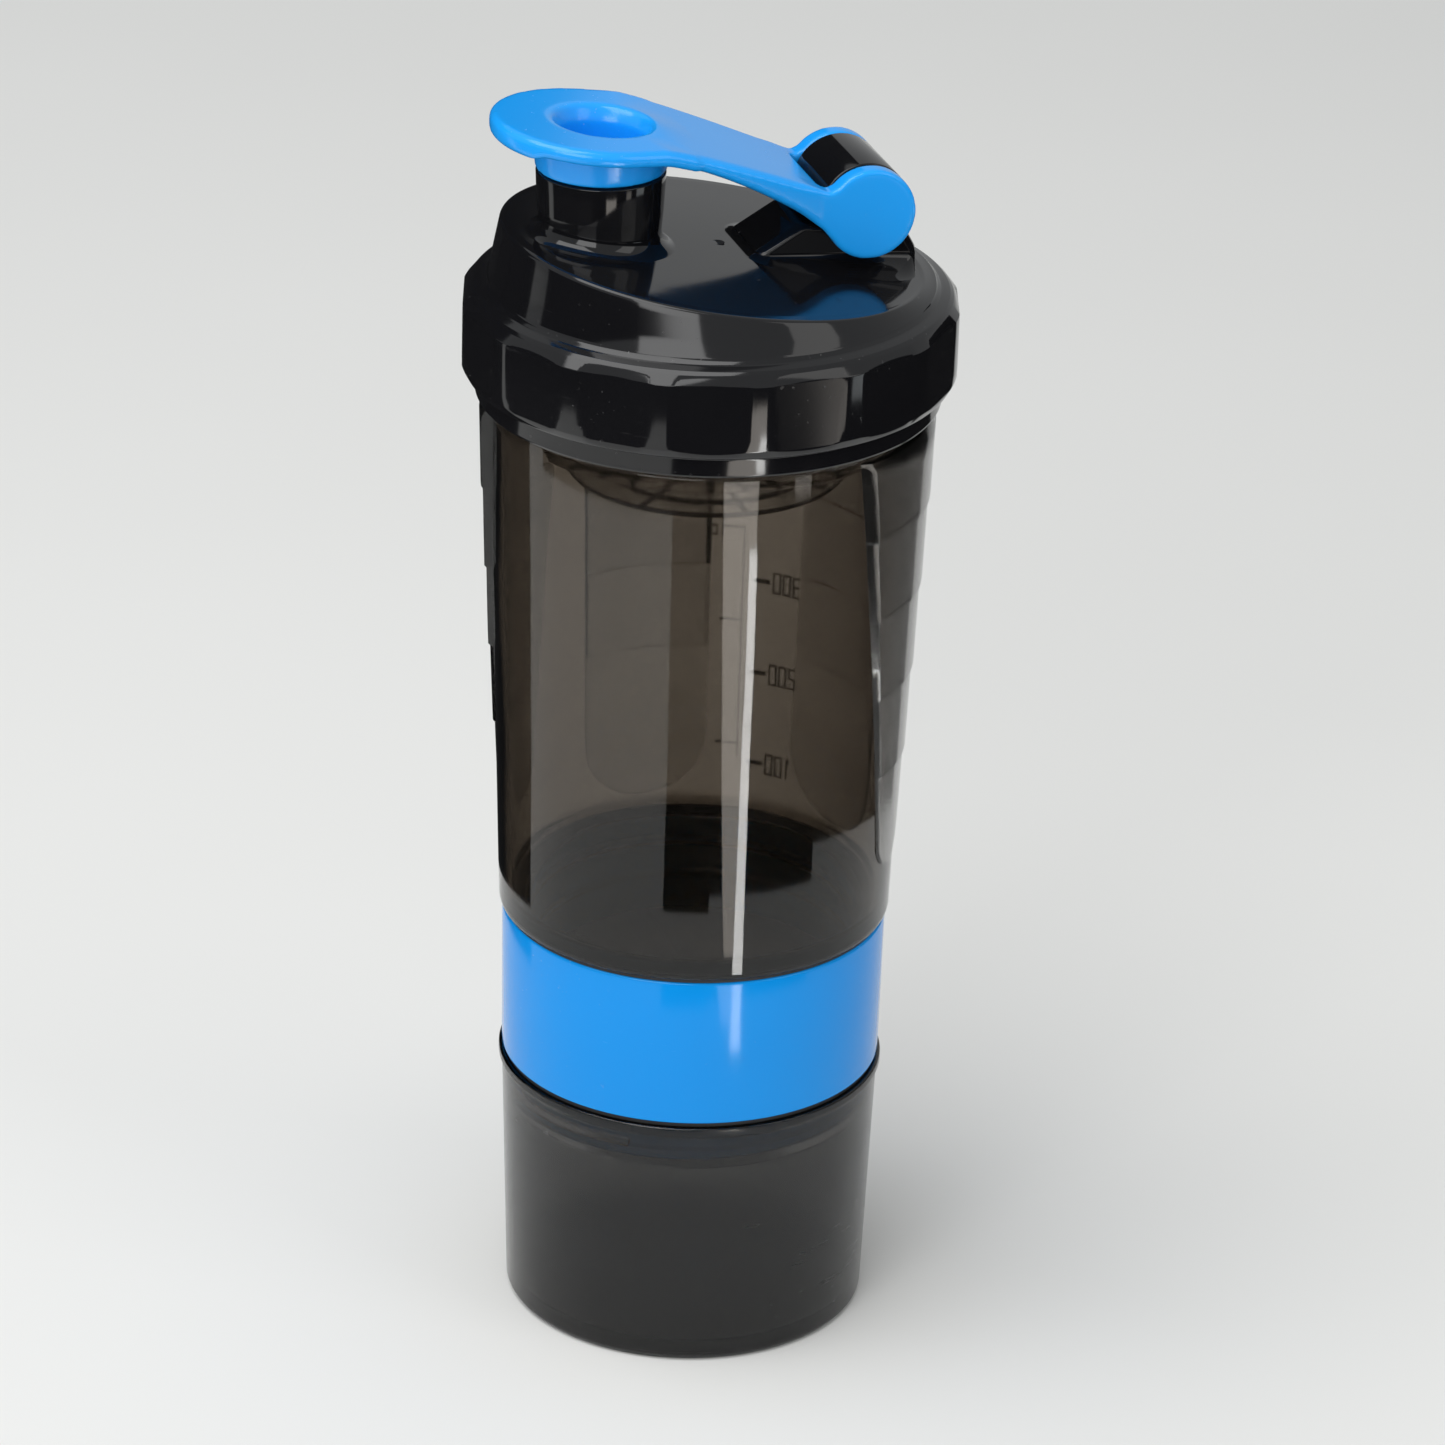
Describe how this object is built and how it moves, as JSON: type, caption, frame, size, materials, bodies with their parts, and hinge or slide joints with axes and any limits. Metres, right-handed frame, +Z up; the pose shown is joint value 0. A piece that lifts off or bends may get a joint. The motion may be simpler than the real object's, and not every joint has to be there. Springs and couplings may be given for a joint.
{
  "type": "shaker bottle",
  "caption": "Screw-together shaker bottle: tumbler with a mixing grid, storage box and jar below, screw lid with a sealed spout under a hinged flip cap.",
  "frame": {"origin": "centre of the jar's foot, on the surface it stands on", "axes": "+Z up along the bottle's axis, -X towards the spout, +X towards the flip cap's hinge"},
  "size_m": [0.099, 0.099, 0.2606],
  "materials": {
    "jar_plastic": "satin",
    "gasket_rubber": "matte",
    "box_plastic": "gloss",
    "tray_plastic": "matte",
    "tumbler_plastic": "gloss",
    "grid_plastic": "gloss",
    "seal_rubber": "matte",
    "lid_plastic": "gloss",
    "cap_plastic": "gloss"
  },
  "bodies": {
    "jar": {"jar": "jar_plastic"},
    "jar_ring": {"jar_gasket": "gasket_rubber"},
    "storage": {"storage_box": "box_plastic", "pill_tray": "tray_plastic"},
    "cup_ring": {"tumbler_gasket": "gasket_rubber"},
    "cup": {"tumbler": "tumbler_plastic", "mixing_grid": "grid_plastic"},
    "lid_ring": {"lid_seal": "seal_rubber"},
    "lid": {"lid": "lid_plastic"},
    "cap": {"flip_cap": "cap_plastic"}
  },
  "joints": [
    {"name": "storage_lift", "type": "slide", "parent": "jar", "child": "jar_ring", "axis": [0, 0, 1], "range_m": [0, 0.0041]},
    {"name": "storage_screw", "type": "hinge", "parent": "jar_ring", "child": "storage", "pos_m": [0, 0, 0.05], "axis": [0, 0, 1], "range_deg": [0, 360]},
    {"name": "cup_lift", "type": "slide", "parent": "storage", "child": "cup_ring", "axis": [0, 0, 1], "range_m": [0, 0.0041]},
    {"name": "cup_screw", "type": "hinge", "parent": "cup_ring", "child": "cup", "pos_m": [0, 0, 0.083], "axis": [0, 0, 1], "range_deg": [0, 360]},
    {"name": "lid_lift", "type": "slide", "parent": "cup", "child": "lid_ring", "axis": [0, 0, 1], "range_m": [0, 0.0051]},
    {"name": "lid_screw", "type": "hinge", "parent": "lid_ring", "child": "lid", "pos_m": [0, 0, 0.21], "axis": [0, 0, 1], "range_deg": [0, 360]},
    {"name": "cap_hinge", "type": "hinge", "parent": "lid", "child": "cap", "pos_m": [0.0283, 0, 0.2394], "axis": [0, 1, 0], "range_deg": [0, 140]}
  ],
  "couplings": [
    {"joint": "storage_lift", "follows": "storage_screw", "m_per_rad": 0.00063662},
    {"joint": "cup_lift", "follows": "cup_screw", "m_per_rad": 0.00063662},
    {"joint": "lid_lift", "follows": "lid_screw", "m_per_rad": 0.00079577}
  ]
}
